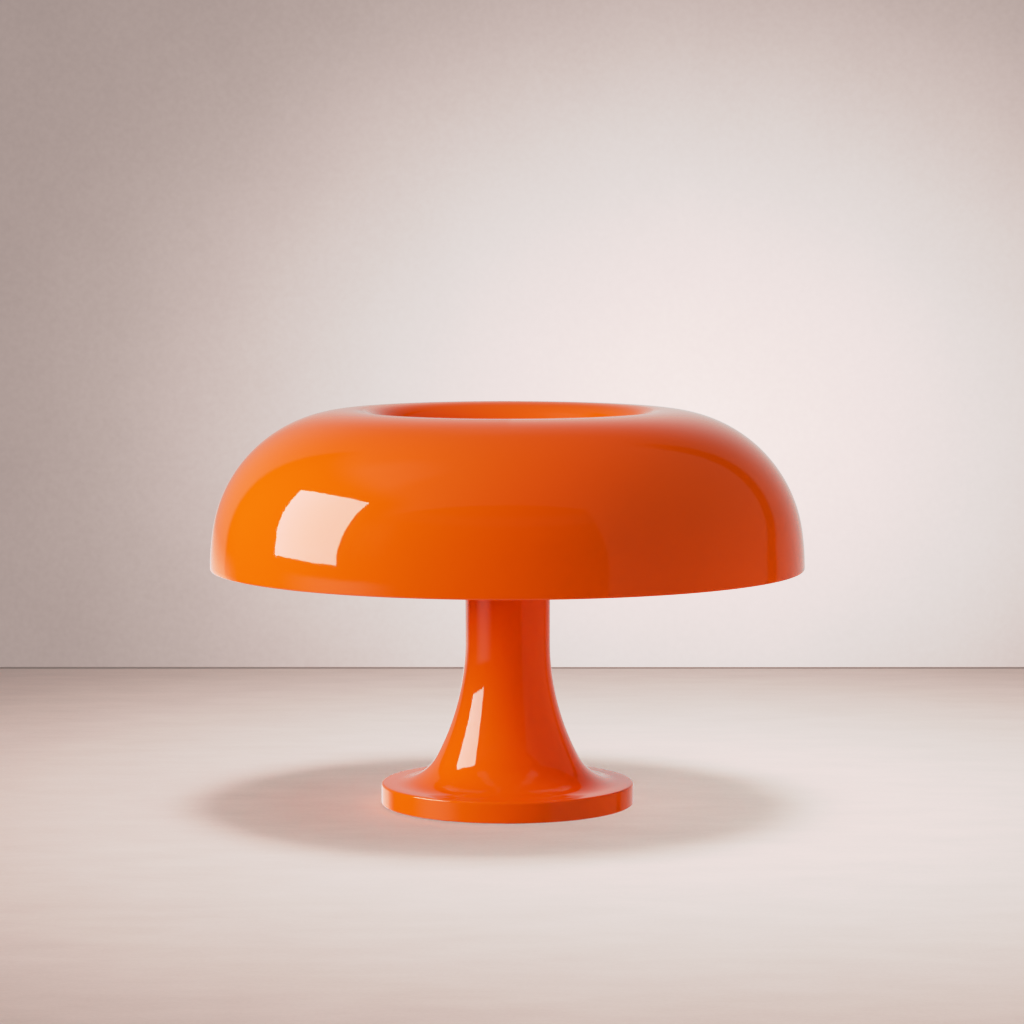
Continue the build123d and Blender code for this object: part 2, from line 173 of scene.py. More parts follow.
def paintOrange(name, look):
    material, wire = startMaterial(name)
    place = objectPlace(wire)
    cloud = noise(wire, place, look["pigmentCloud"], 3)
    fleck = noise(wire, place, look["fleck"], 2, 0.6)
    turnAngle, away, height = aroundAxis(wire, place)
    hair = wire.node("ShaderNodeCombineXYZ", None, {
        "X": turnAngle * look["streaks"],
        "Y": away * look["streakGrain"],
        "Z": height * look["streakGrain"],
    })
    streak = noise(wire, hair, 1, 3)
    tint = (cloud - 0.5) * look["cloudShare"] + (fleck - 0.5) * look["fleckShare"] + 0.5
    colour = tint.clamp().mixed((*look["deep"], 1), (*look["clear"], 1))
    share = look["streakShare"]
    hazy = streak.between(*look["streakRange"]) * share + cloud * (1 - share)
    rough = look["gloss"] + look["haze"] * hazy
    relief = noise(wire, place, look["peel"], 1) + streak * look["streakDepth"]
    shader = wire.node("ShaderNodeBsdfPrincipled", None, {
        "Base Color": colour,
        "Roughness": rough,
        "IOR": look["ior"],
        "Normal": bump(wire, relief, look["peelDepth"]),
    })
    finishMaterial(wire, shader)
    return material


# each small finish: its dark and light colours, the width of a patch, its least and most
# roughness, and its relief's grain and depth in metres. stretch draws a pattern out along an axis
finishes = {
    "knob_plastic": {
        "colours": ((0.86, 0.066, 0.0008), (0.94, 0.086, 0.0014)),
        "patch": 0.012, "rough": (0.06, 0.16),
        "grain": 0.0011, "depth": 0.000012,
    },
    "holder_plastic": {
        "colours": ((0.60, 0.58, 0.53), (0.72, 0.70, 0.65)),
        "patch": 0.009, "rough": (0.34, 0.5),
        "grain": 0.0006, "depth": 0.00003,
    },
    "terminal_plastic": {
        "colours": ((0.55, 0.53, 0.47), (0.66, 0.64, 0.58)),
        "patch": 0.008, "rough": (0.38, 0.55),
        "grain": 0.0005, "depth": 0.00003,
    },
    "opal_glass": {
        "colours": ((0.86, 0.855, 0.835), (0.91, 0.905, 0.885)),
        "patch": 0.02, "rough": (0.09, 0.16),
        "grain": 0.004, "depth": 0.00001, "soft": 0.35, "softReach": 0.004,
    },
    "cap_nickel": {
        "colours": ((0.56, 0.54, 0.50), (0.74, 0.72, 0.67)),
        "patch": 0.003, "rough": (0.18, 0.36),
        "grain": 0.0007, "depth": 0.000012, "metal": 1.0,
    },
    "contact_brass": {
        "colours": ((0.52, 0.36, 0.13), (0.76, 0.57, 0.25)),
        "patch": 0.004, "rough": (0.22, 0.42),
        "grain": 0.0005, "depth": 0.00001, "metal": 1.0,
    },
    "thread_brass": {
        "colours": ((0.48, 0.33, 0.12), (0.74, 0.55, 0.25)),
        "patch": 0.005, "rough": (0.2, 0.4),
        "grain": 0.0004, "depth": 0.00001, "metal": 1.0, "stretch": (0.25, 0.25, 3.0),
    },
    "pressed_steel": {
        "colours": ((0.47, 0.48, 0.50), (0.66, 0.67, 0.68)),
        "patch": 0.007, "rough": (0.24, 0.44),
        "grain": 0.0006, "depth": 0.00002, "metal": 1.0,
    },
    "turned_steel": {
        "colours": ((0.44, 0.44, 0.46), (0.62, 0.62, 0.64)),
        "patch": 0.003, "rough": (0.2, 0.38),
        "grain": 0.0004, "depth": 0.000014, "metal": 1.0, "stretch": (0.2, 0.2, 3.0),
    },
    "screw_steel": {
        "colours": ((0.46, 0.47, 0.49), (0.68, 0.69, 0.71)),
        "patch": 0.002, "rough": (0.2, 0.4),
        "grain": 0.0003, "depth": 0.00001, "metal": 1.0,
    },
    "ballast_iron": {
        "colours": ((0.035, 0.036, 0.04), (0.085, 0.085, 0.09)),
        "patch": 0.01, "rough": (0.5, 0.75),
        "grain": 0.0012, "depth": 0.00018, "metal": 0.4,
    },
    "cover_plastic": {
        "colours": ((0.012, 0.012, 0.013), (0.026, 0.026, 0.027)),
        "patch": 0.015, "rough": (0.42, 0.62),
        "grain": 0.0006, "depth": 0.00005,
    },
    "pad_rubber": {
        "colours": ((0.010, 0.010, 0.010), (0.024, 0.023, 0.022)),
        "patch": 0.003, "rough": (0.7, 0.9),
        "grain": 0.0003, "depth": 0.00003,
    },
    "grommet_rubber": {
        "colours": ((0.012, 0.012, 0.012), (0.026, 0.026, 0.025)),
        "patch": 0.003, "rough": (0.6, 0.82),
        "grain": 0.0003, "depth": 0.00003,
    },
    "lead_cable": {
        "colours": ((0.70, 0.69, 0.64), (0.80, 0.79, 0.74)),
        "patch": 0.006, "rough": (0.4, 0.55),
        "grain": 0.0004, "depth": 0.00001,
    },
}


# what all small finishes share: how wide a worn patch is beside a coloured one, and how much
# of the grain and the wear goes into colour, roughness and relief
blend = {"wearWidth": 0.35, "grainInColour": 0.25, "grainInRough": 0.4, "wearInRelief": 0.3}


def paintFinish(name, look):
    material, wire = startMaterial(name)
    place = objectPlace(wire, look.get("stretch", (1, 1, 1)))
    patch = noise(wire, place, look["patch"], 4, 0.6).between(0.3, 0.7)
    grain = noise(wire, place, look["grain"], 3, 0.55)
    wornPatch = look["patch"] * blend["wearWidth"]
    wear = noise(wire, objectPlace(wire), wornPatch, 5, 0.7).between(0.42, 0.75)
    dark, pale = look["colours"]
    least, most = look["rough"]
    share = blend["grainInColour"]
    tint = patch * (1 - share) + grain * share
    share = blend["grainInRough"]
    worn = wear * (1 - share) + grain * share
    settings = {
        "Base Color": tint.clamp().mixed((*dark, 1), (*pale, 1)),
        "Roughness": least + (most - least) * worn,
        "Metallic": look.get("metal", 0.0),
        "Normal": bump(wire, grain + wear * blend["wearInRelief"], look["depth"]),
    }
    if "soft" in look:
        settings["Subsurface Weight"] = look["soft"]
        settings["Subsurface Scale"] = look["softReach"]
    finishMaterial(wire, wire.node("ShaderNodeBsdfPrincipled", None, settings))
    return material


paints = {slot: paintFinish(slot, look) for slot, look in finishes.items()}
paints["orange_shell"] = paintOrange("orange_moulded_plastic", orangeGloss)
slotOf = {part["node"]: part["material_slot"] for part in frame["record"]["subparts"]}
for nodeName, node in nodes.items():
    for place in node.material_slots:
        place.material = paints[slotOf[nodeName]]
print("finishes made:", len(paints))


weld = 2e-6  # points nearer than this are one
fineWeld = 1e-7


def startOutline(bm, radius, height):
    return bm.verts.new((radius, 0, height))


def lineTo(bm, tip, radius, height):
    grown = bmesh.ops.extrude_vert_indiv(bm, verts=[tip])["verts"][0]
    bmesh.ops.translate(bm, verts=[grown], vec=Vector((radius, 0, height)) - grown.co)
    return grown


def arcAbout(bm, tip, centre, degrees, steps):
    # the tip goes round centre (radius, height), anticlockwise for positive degrees
    swept = bmesh.ops.spin(
        bm, geom=[tip], cent=(centre[0], 0, centre[1]), axis=(0, -1, 0),
        angle=math.radians(degrees), steps=steps
    )
    return [v for v in swept["geom_last"] if isinstance(v, bmesh.types.BMVert)][0]


def closeOutline(bm):
    # joins the outline's ends and drops a side on the axis, which would sweep nothing
    bmesh.ops.remove_doubles(bm, verts=bm.verts, dist=weld)
    for edge in [e for e in bm.edges if all(v.co.x < weld for v in e.verts)]:
        bm.edges.remove(edge)


def turnOutline(bm, steps):
    closeOutline(bm)
    bmesh.ops.spin(
        bm, geom=bm.verts[:] + bm.edges[:], axis=(0, 0, 1), angle=math.tau, steps=steps,
        use_merge=True
    )
    bmesh.ops.remove_doubles(bm, verts=bm.verts, dist=fineWeld)
    bmesh.ops.recalc_face_normals(bm, faces=bm.faces)


def onCircle(centre, radius, degrees):
    turn = math.radians(degrees)
    return centre[0] + radius * math.cos(turn), centre[1] + radius * math.sin(turn)


def smoothFaces(mesh, sharpAngle):
    bm = bmesh.new()
    bm.from_mesh(mesh)
    for face in bm.faces:
        face.smooth = True
    for edge in bm.edges:
        folded = len(edge.link_faces) == 2 and edge.calc_face_angle() > math.radians(sharpAngle)
        edge.smooth = not folded
    bm.to_mesh(mesh)
    bm.free()


def addPiece(name, bm, node, body, sharpAngle=35):
    # a new piece that stands for one node and takes that node's finish
    mesh = bpy.data.meshes.new(name)
    bm.to_mesh(mesh)
    bm.free()
    smoothFaces(mesh, sharpAngle)
    mesh.materials.append(paints[slotOf[node]])
    piece = bpy.data.objects.new(name, mesh)
    bpy.context.scene.collection.objects.link(piece)
    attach(piece, body)
    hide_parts(node)
    return piece


def twoArcs(inset, rise, sweep):
    # radii of two tangent arcs that turn upright into level over this inset and rise
    s, c = math.sin(math.radians(sweep)), math.cos(math.radians(sweep))
    first = (inset - c * rise / (1 - s)) / ((1 - c) - c * s / (1 - s))
    return first, (rise - first * s) / (1 - s)


def cutWith(bm, tools, operation="DIFFERENCE"):
    # the mesh with each tool mesh taken from it in turn, or shared with it
    for tool in tools:
        held = []
        for name, part in (("work", bm), ("tool", tool)):
            mesh = bpy.data.meshes.new(name)
            part.to_mesh(mesh)
            part.free()
            held.append(bpy.data.objects.new(name, mesh))
            bpy.context.scene.collection.objects.link(held[-1])
        cut = held[0].modifiers.new("cut", "BOOLEAN")
        cut.operation, cut.object, cut.solver = operation, held[1], "EXACT"
        bpy.context.view_layer.update()
        done = held[0].evaluated_get(bpy.context.evaluated_depsgraph_get())
        bm = bmesh.new()
        bm.from_mesh(done.to_mesh())
        done.to_mesh_clear()
        for part in held:
            mesh = part.data
            bpy.data.objects.remove(part)
            bpy.data.meshes.remove(mesh)
    bmesh.ops.remove_doubles(bm, verts=bm.verts, dist=fineWeld)
    return bm


def roundPoints(bm, points, size, steps):
    bmesh.ops.bevel(
        bm, geom=points, offset=size, segments=steps, profile=0.5, affect="VERTICES", material=-1
    )


def turned(points, ease=0.0, steps=72, easeSteps=3):
    # a closed outline of (radius, height) points turned about z, its corners rounded by ease
    bm = bmesh.new()
    tip = startOutline(bm, *points[0])
    for point in points[1:] + points[:1]:
        tip = lineTo(bm, tip, *point)
    closeOutline(bm)
    if ease:
        roundPoints(bm, [v for v in bm.verts if len(v.link_edges) == 2], ease, easeSteps)
    turnOutline(bm, steps)
    return bm


def ring(bore, radius, low, high, ease=0.0, steps=72, easeSteps=3):
    corners = [(bore, low), (radius, low), (radius, high), (bore, high)]
    return turned(corners, ease, steps, easeSteps)


def rod(radius, low, high, ease=0.0, steps=32, easeSteps=3):
    return ring(0, radius, low, high, ease, steps, easeSteps)


def block(width, depth, height, centre):
    bm = bmesh.new()
    bmesh.ops.create_cube(bm, size=1)
    bmesh.ops.scale(bm, verts=bm.verts, vec=(width, depth, height))
    bmesh.ops.translate(bm, verts=bm.verts, vec=centre)
    return bm


def moved(bm, matrix):
    bmesh.ops.transform(bm, matrix=matrix, verts=bm.verts)
    return bm


def together(parts):
    # several meshes as one, each freed
    whole = bmesh.new()
    for part in parts:
        mesh = bpy.data.meshes.new("part")
        part.to_mesh(mesh)
        part.free()
        whole.from_mesh(mesh)
        bpy.data.meshes.remove(mesh)
    return whole


def copies(bm, matrices):
    made = [moved(bm.copy(), matrix) for matrix in matrices]
    bm.free()
    return together(made)


def aboutAxis(degrees):
    return Matrix.Rotation(math.radians(degrees), 4, "Z")


def outAt(degrees, radius, height=0.0):
    return aboutAxis(degrees) @ Matrix.Translation((radius, 0, height))


upsideDown = Matrix.Rotation(math.pi, 4, "X")
diagonals = (45, 135, 225, 315)


threadLead = 1.2  # turns wound below a thread's lower end, to be cut off


def screwThread(bore, root, crest, pitch, low, high, steps=40):
    # a rolled thread wound about z, cut level at both ends, solid or with a bore
    bm = bmesh.new()
    start = low - threadLead * pitch
    tip = startOutline(bm, root, start)
    for radius, share in ((root, 0.12), (crest, 0.42), (crest, 0.58), (root, 0.88), (root, 1)):
        tip = lineTo(bm, tip, radius, start + share * pitch)
    turns = math.ceil((high - low) / pitch + threadLead) + 1
    bmesh.ops.spin(
        bm, geom=bm.verts[:] + bm.edges[:], axis=(0, 0, 1), angle=math.tau * turns,
        steps=steps * turns, dvec=(0, 0, pitch / steps)
    )
    bmesh.ops.remove_doubles(bm, verts=bm.verts, dist=weld)
    for height, above in ((low, False), (high, True)):
        bmesh.ops.bisect_plane(
            bm, geom=bm.verts[:] + bm.edges[:] + bm.faces[:], plane_co=(0, 0, height),
            plane_no=(0, 0, 1), clear_outer=above, clear_inner=not above
        )
    bmesh.ops.remove_doubles(bm, verts=bm.verts, dist=weld)
    if bore:
        level = Matrix.Translation((0, 0, low))
        hole = bmesh.ops.create_circle(bm, segments=steps, radius=bore, matrix=level)
        rim = list({e for v in hole["verts"] for e in v.link_edges})
        grown = bmesh.ops.extrude_edge_only(bm, edges=rim)["geom"]
        risen = [v for v in grown if isinstance(v, bmesh.types.BMVert)]
        bmesh.ops.translate(bm, verts=risen, vec=(0, 0, high - low))
    for height in (low, high):
        ends = [
            e for e in bm.edges
            if e.is_boundary and all(abs(v.co.z - height) < weld for v in e.verts)
        ]
        if bore:
            bmesh.ops.bridge_loops(bm, edges=ends)
        else:
            bmesh.ops.contextual_create(bm, geom=ends)
    bmesh.ops.recalc_face_normals(bm, faces=bm.faces)
    return bm


shade = {
    "wall": 0.003,
    "shoulderInset": 0.0758,
    "sideSweep": 8.0,
    "crestFillet": 0.020,
    "mouthInset": 0.0108,
    "floorRadius": 0.040,
    "floorTop": 0.169,
    "floorFillet": 0.008,
    "rimFillet": 0.0008,
    "hole": 0.0053,
    "turnSteps": 240,
    "outerSteps": {"rim": 5, "side": 12, "shoulder": 64, "crest": 20, "floor": 10},
    "innerSteps": {"rim": 5, "side": 8, "shoulder": 40, "crest": 14, "floor": 10},
}


def makeShade():
    low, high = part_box("shade_shell")
    radius, rim, crest = high.x, low.z, high.z
    s = shade
    outer, inner = s["outerSteps"], s["innerSteps"]
    sideArc, shoulderArc = twoArcs(s["shoulderInset"], crest - rim, s["sideSweep"])
    shoulderTurn = 90 - s["sideSweep"]
    crestRadius = radius - s["shoulderInset"]
    shoulderCentre = (crestRadius, crest - shoulderArc)
    sideCentre = (radius - sideArc, rim)
    mouth = Vector((crestRadius - s["mouthInset"], crest))
    cone = Vector((s["floorRadius"], s["floorTop"])) - mouth
    lean = math.degrees(math.atan2(-cone.y, -cone.x))  # turn from level into the cone
    leanCut = math.tan(math.radians(lean) / 2)
    crestCentre = (mouth.x + s["crestFillet"] * leanCut, crest - s["crestFillet"])
    floorCentre = (
        s["floorRadius"] - s["floorFillet"] * leanCut, s["floorTop"] + s["floorFillet"]
    )
    rimCentre = (radius - s["rimFillet"], rim + s["rimFillet"])
    insideRim = (radius - s["wall"] + s["rimFillet"], rim + s["rimFillet"])
    sideTurn = s["sideSweep"] - math.degrees(math.asin(s["rimFillet"] / sideArc))

    # outside: rim, side, shoulder, crest, cone and funnel floor
    bm = bmesh.new()
    tip = startOutline(bm, rimCentre[0], rim)
    tip = arcAbout(bm, tip, rimCentre, 90, outer["rim"])
    tip = arcAbout(bm, tip, sideCentre, sideTurn, outer["side"])
    tip = arcAbout(bm, tip, shoulderCentre, shoulderTurn, outer["shoulder"])
    tip = lineTo(bm, tip, crestCentre[0], crest)
    tip = arcAbout(bm, tip, crestCentre, lean, outer["crest"])
    tip = lineTo(bm, tip, *onCircle(floorCentre, s["floorFillet"], lean - 90))
    tip = arcAbout(bm, tip, floorCentre, -lean, outer["floor"])
    tip = lineTo(bm, tip, s["hole"], s["floorTop"])
    # and back inside the wall
    tip = lineTo(bm, tip, s["hole"], s["floorTop"] - s["wall"])
    tip = lineTo(bm, tip, floorCentre[0], s["floorTop"] - s["wall"])
    tip = arcAbout(bm, tip, floorCentre, lean, inner["floor"])
    tip = lineTo(bm, tip, *onCircle(crestCentre, s["crestFillet"] - s["wall"], lean + 90))
    tip = arcAbout(bm, tip, crestCentre, -lean, inner["crest"])
    tip = lineTo(bm, tip, crestRadius, crest - s["wall"])
    tip = arcAbout(bm, tip, shoulderCentre, -shoulderTurn, inner["shoulder"])
    tip = arcAbout(bm, tip, sideCentre, -sideTurn, inner["side"])
    tip = arcAbout(bm, tip, insideRim, 90, inner["rim"])
    lineTo(bm, tip, rimCentre[0], rim)
    turnOutline(bm, s["turnSteps"])
    addPiece("domed_shade", bm, "shade_shell", "shade")


stand = {
    "wall": 0.003,
    "neckRadius": 0.023,
    "neckBottom": 0.0885,
    "flareSweep": 27.9,
    "footLedge": 0.0069,
    "footTop": 0.0122,
    "footFillet": 0.0012,
    "lipEase": 0.0004,
    "inletHeight": 0.0061,
    "notchRadius": 0.00385,
    "turnSteps": 240,
    "outerSteps": 40,
    "innerSteps": 24,
    "footSteps": 8,
}


def makeStand():
    low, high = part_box("stand_shell")
    footRadius, bottom, top = high.x, low.z, high.z
    s = stand
    neck, footTop, sweep, ease = s["neckRadius"], s["footTop"], s["flareSweep"], s["lipEase"]
    flareRadius = footRadius - s["footLedge"]
    longArc, shortArc = twoArcs(flareRadius - neck, s["neckBottom"] - footTop, sweep)
    longCentre = (neck + longArc, s["neckBottom"])
    shortCentre = (flareRadius, footTop + shortArc)
    footCentre = (footRadius - s["footFillet"], footTop - s["footFillet"])
    bore = footRadius - s["wall"]
    ceiling = footTop - s["wall"]
    bm = bmesh.new()
    tip = startOutline(bm, neck - ease, top)
    tip = lineTo(bm, tip, neck, top - ease)
    tip = lineTo(bm, tip, neck, s["neckBottom"])
    tip = arcAbout(bm, tip, longCentre, sweep, s["outerSteps"])
    tip = arcAbout(bm, tip, shortCentre, 90 - sweep, s["outerSteps"])
    tip = lineTo(bm, tip, footCentre[0], footTop)
    tip = arcAbout(bm, tip, footCentre, -90, s["footSteps"])
    tip = lineTo(bm, tip, footRadius, bottom + ease)
    tip = lineTo(bm, tip, footRadius - ease, bottom)
    tip = lineTo(bm, tip, bore, bottom)
    tip = lineTo(bm, tip, bore, ceiling)
    tip = lineTo(bm, tip, flareRadius, ceiling)
    tip = arcAbout(bm, tip, shortCentre, sweep - 90, s["innerSteps"])
    tip = arcAbout(bm, tip, longCentre, -sweep, s["innerSteps"])
    tip = lineTo(bm, tip, neck - s["wall"], top)
    lineTo(bm, tip, neck - ease, top)
    turnOutline(bm, s["turnSteps"])

    # the notch for the grommet: a round bore at the back, open to the foot's edge
    reach = s["wall"] * 3
    inlet = Matrix.Translation((0, footRadius, s["inletHeight"]))
    lying = Matrix.Rotation(math.radians(90), 4, "X")
    notch = moved(rod(s["notchRadius"], -reach, reach), inlet @ lying)
    below = (0, footRadius, s["inletHeight"] / 2)
    slot = block(2 * s["notchRadius"], 2 * reach, s["inletHeight"], below)
    addPiece("trumpet_stand", cutWith(bm, [notch, slot]), "stand_shell", "stand")


makeShade()
makeStand()
print("shells made")


knob = {
    "radius": 0.017,
    "crown": 0.003,
    "crownSteps": 10,
    "turnSteps": 144,
    "roundSteps": 5,
    "edgeRound": 0.0015,
    "skirtRound": 0.0005,
    "boreRadius": 0.00705,
    "boreDepth": 0.012,
    "flutes": 12,
    "fluteRadius": 0.003,
    "fluteCircle": 0.0185,
    "fluteSteps": 48,
    "fluteRunOut": 0.002,
    "fluteEase": 0.00045,
    "easeSteps": 2,
    "easeFrom": 35,
    "sharpFrom": 30,
}


def makeKnob():
    low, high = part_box("top_knob")
    bottom, top = low.z, high.z
    k = knob
    sphere = (k["radius"] ** 2 + k["crown"] ** 2) / (2 * k["crown"])
    sweep = math.degrees(math.asin(k["radius"] / sphere))
    bm = bmesh.new()
    tip = startOutline(bm, 0, top)
    edge = arcAbout(bm, tip, (0, top - sphere), -sweep, k["crownSteps"])
    skirt = lineTo(bm, edge, k["radius"], bottom)
    tip = lineTo(bm, skirt, k["boreRadius"], bottom)
    tip = lineTo(bm, tip, k["boreRadius"], bottom + k["boreDepth"])
    lineTo(bm, tip, 0, bottom + k["boreDepth"])
    roundPoints(bm, [edge], k["edgeRound"], k["roundSteps"])
    roundPoints(bm, [skirt], k["skirtRound"], k["roundSteps"])
    turnOutline(bm, k["turnSteps"])
    flute = rod(
        k["fluteRadius"], bottom - k["fluteRunOut"], top + k["fluteRunOut"], 0, k["fluteSteps"]
    )
    step = 360 / k["flutes"]
    places = [outAt(step * turn, k["fluteCircle"]) for turn in range(k["flutes"])]
    fluted = cutWith(bm, [copies(flute, places)])
    piece = addPiece("fluted_knob", fluted, "top_knob", "knob", k["sharpFrom"])
    ease = piece.modifiers.new("ease", "BEVEL")
    ease.width, ease.segments = k["fluteEase"], k["easeSteps"]
    ease.limit_method, ease.angle_limit = "ANGLE", math.radians(k["easeFrom"])


tube = {
    "bore": 0.004,
    "threadRoot": 0.00455,
    "pitch": 0.001,
    "plainFrom": 0.0115,
    "plainTo": 0.1455,
    "sharpFrom": 40,
}


def makeTube():
    low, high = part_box("tie_tube")
    t = tube
    ends = [
        screwThread(t["bore"], t["threadRoot"], high.x, t["pitch"], bottom, top)
        for bottom, top in ((low.z, t["plainFrom"]), (t["plainTo"], high.z))
    ]
    plain = ring(t["bore"], high.x, t["plainFrom"], t["plainTo"])
    whole = together([plain] + ends)
    addPiece("threaded_tie_tube", whole, "tie_tube", "stand", t["sharpFrom"])


# rings on the lamp's axis, as wide and as high as their nodes
rings = {
    "knob_insert": {"name": "threaded_insert", "body": "knob", "bore": 0.00505, "ease": 0.0002},
    "knob_washer": {"name": "knob_washer_ring", "body": "washer", "bore": 0.0053, "ease": 0.0003},
    "upper_washer": {"name": "upper_washer_ring", "body": "stand", "bore": 0.0053, "ease": 0.0002},
    "lower_washer": {"name": "lower_washer_ring", "body": "stand", "bore": 0.0053, "ease": 0.0002},
}


def makeRings():
    for node, look in rings.items():
        low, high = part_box(node)
        bm = ring(look["bore"], high.x, low.z, high.z, look["ease"])
        addPiece(look["name"], bm, node, look["body"])


seat = {
    "bore": 0.00505,
    "neck": 0.0085,
    "flangeBottom": 0.163,
    "fillet": 0.003,
    "filletSteps": 8,
    "ease": 0.0003,
    "turnSteps": 96,
}


def makeSeat():
    low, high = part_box("shade_seat")
    flange, bottom, top = high.x, low.z, high.z
    s = seat
    ease, under = s["ease"], s["flangeBottom"]
    bm = bmesh.new()
    tip = startOutline(bm, s["bore"], bottom)
    tip = lineTo(bm, tip, s["neck"] - ease, bottom)
    tip = lineTo(bm, tip, s["neck"], bottom + ease)
    tip = lineTo(bm, tip, s["neck"], under - s["fillet"])
    tip = arcAbout(bm, tip, (s["neck"] + s["fillet"], under - s["fillet"]), -90, s["filletSteps"])
    tip = lineTo(bm, tip, flange - ease, under)
    tip = lineTo(bm, tip, flange, under + ease)
    tip = lineTo(bm, tip, flange, top - ease)
    tip = lineTo(bm, tip, flange - ease, top)
    tip = lineTo(bm, tip, s["bore"], top)
    lineTo(bm, tip, s["bore"], bottom)
    turnOutline(bm, s["turnSteps"])
    addPiece("turned_shade_seat", bm, "shade_seat", "stand")


nut = {
    "flats": 0.014,
    "bore": 0.00505,
    "chamfer": 0.0007,
    "barrelGap": 0.0002,
    "sharpFrom": 25,
}


def makeNuts():
    n = nut
    corner = n["flats"] / 2 / math.cos(math.radians(30))
    wide, narrow = corner + n["barrelGap"], corner - 2 * n["chamfer"]
    for node in ("upper_nut", "lower_nut"):
        low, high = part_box(node)
        bottom, top = low.z, high.z
        bm = bmesh.new()
        level = Matrix.Translation((0, 0, bottom))
        bmesh.ops.create_circle(bm, cap_ends=True, segments=6, radius=corner, matrix=level)
        grown = bmesh.ops.extrude_face_region(bm, geom=bm.faces[:])["geom"]
        risen = [v for v in grown if isinstance(v, bmesh.types.BMVert)]
        bmesh.ops.translate(bm, verts=risen, vec=(0, 0, top - bottom))
        bmesh.ops.recalc_face_normals(bm, faces=bm.faces)
        barrel = turned([
            (n["bore"], bottom), (narrow, bottom), (wide, bottom + n["chamfer"]),
            (wide, top - n["chamfer"]), (narrow, top), (n["bore"], top),
        ])
        shaped = cutWith(bm, [barrel], "INTERSECT")
        addPiece("chamfered_" + node, shaped, node, "stand", n["sharpFrom"])


screw = {
    "shank": 0.00135,
    "crest": 0.0015,
    "pitch": 0.0006,
    "head": 0.0028,
    "headHeight": 0.0018,
    "headRound": 0.0006,
    "headSteps": 40,
    "roundSteps": 4,
    "threadSteps": 16,
    "slotWidth": 0.0008,
    "slotDepth": 0.0009,
    "slotReach": 0.01,
    "crossReach": 0.0032,
    "crossDepth": 0.0022,
}


def screwShank(length, start):
    s = screw
    return screwThread(0, s["shank"], s["crest"], s["pitch"], -length, start, s["threadSteps"])


def panScrew(length):
    # head above z = 0, shank below it
    s = screw
    head = rod(s["head"], 0, s["headHeight"], s["headRound"], s["headSteps"], s["roundSteps"])
    slot = block(s["slotReach"], s["slotWidth"], 2 * s["slotDepth"], (0, 0, s["headHeight"]))
    return together([cutWith(head, [slot]), screwShank(length, 0)])


def sunkScrew(length):
    # head's face at z = 0, shank below it
    s = screw
    cone = s["head"] - s["crest"]
    head = turned([(0, 0), (s["head"], 0), (s["crest"], -cone), (0, -cone)], 0, s["headSteps"])
    cross = [
        block(s["crossReach"], s["slotWidth"], s["crossDepth"], (0, 0, 0)),
        block(s["slotWidth"], s["crossReach"], s["crossDepth"], (0, 0, 0)),
    ]
    return together([cutWith(head, cross), screwShank(length, -cone)])


screwPlaces = {
    "ringHeight": 0.148,
    "ringCircle": 0.01275,
    "ringLength": 0.008,
    "tabInner": 0.048,
    "holderSpacing": 0.0106,
    "holderLength": 0.007,
    "coverHeight": 0.001,
    "coverCircle": 0.045,
    "coverStart": 30,
    "coverLength": 0.0065,
}


def makeScrews():
    p = screwPlaces
    onRing = [outAt(turn, p["ringCircle"], p["ringHeight"]) for turn in (0, 180)]
    onTabs = [
        alongHolder(angle) @ Matrix.Translation((side * p["holderSpacing"] / 2, 0, p["tabInner"]))
        @ upsideDown
        for angle in diagonals for side in (-1, 1)
    ]
    under = [
        outAt(p["coverStart"] + turn, p["coverCircle"], p["coverHeight"]) @ upsideDown
        for turn in (0, 120, 240)
    ]
    for name, one, places, node in (
        ("ring_screw_pair", panScrew(p["ringLength"]), onRing, "ring_screws"),
        ("holder_screw_set", panScrew(p["holderLength"]), onTabs, "holder_screws"),
        ("cover_screw_set", sunkScrew(p["coverLength"]), under, "cover_screws"),
    ):
        addPiece(name, copies(one, places), node, "stand")


feet = {
    "radius": 0.006,
    "circle": 0.054,
    "ease": 0.0004,
    "dish": 0.0003,
    "dishRadius": 0.0036,
    "round": 0.0001,
    "turnSteps": 64,
}


def makeFeet():
    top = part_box("feet")[1].z
    f = feet
    pad = turned([
        (0, f["dish"]), (f["dishRadius"], f["dish"]), (f["dishRadius"] + f["dish"], 0),
        (f["radius"] - f["ease"], 0), (f["radius"], f["ease"]), (f["radius"], top), (0, top),
    ], f["round"], f["turnSteps"])
    places = [outAt(turn, f["circle"]) for turn in diagonals]
    addPiece("rubber_pads", copies(pad, places), "feet", "stand")


# sizes along each lampholder's own axis, measured outwards from the lamp's axis
bulb = {
    "axisHeight": 0.158,
    "glassWall": 0.001,
    "globe": 0.0225,
    "globeCentre": 0.1145,
    "outerSteps": {"swell": 14, "globe": 44},
    "innerSteps": {"swell": 10, "globe": 30},
    "neck": 0.0064,
    "neckLength": 0.0265,
    "neckStart": 0.079,
    "capStart": 0.064,
    "capEnd": 0.087,
    "capRadius": 0.00695,
    "capRoot": 0.0065,
    "threadStart": 0.0675,
    "threadEnd": 0.081,
    "threadPitch": 0.00282,
    "threadWall": 0.0006,
    "threadSteps": 48,
    "tip": 0.0024,
    "baseStep": 0.0004,
    "baseEase": 0.0002,
    "skirtFit": 0.00003,
    "skirtEase": 0.00015,
    "turnSteps": 96,
}

holder = {
    "back": 0.050,
    "radius": 0.0135,
    "waist": 0.0122,
    "waistStart": 0.0607,
    "waistEnd": 0.078,
    "slope": 0.0013,
    "mouth": 0.084,
    "shellSeat": 0.0080,
    "shellStart": 0.062,
    "chamber": 0.0065,
    "chamberStart": 0.056,
    "leadHole": 0.00195,
    "ease": 0.0006,
    "turnSteps": 96,
}


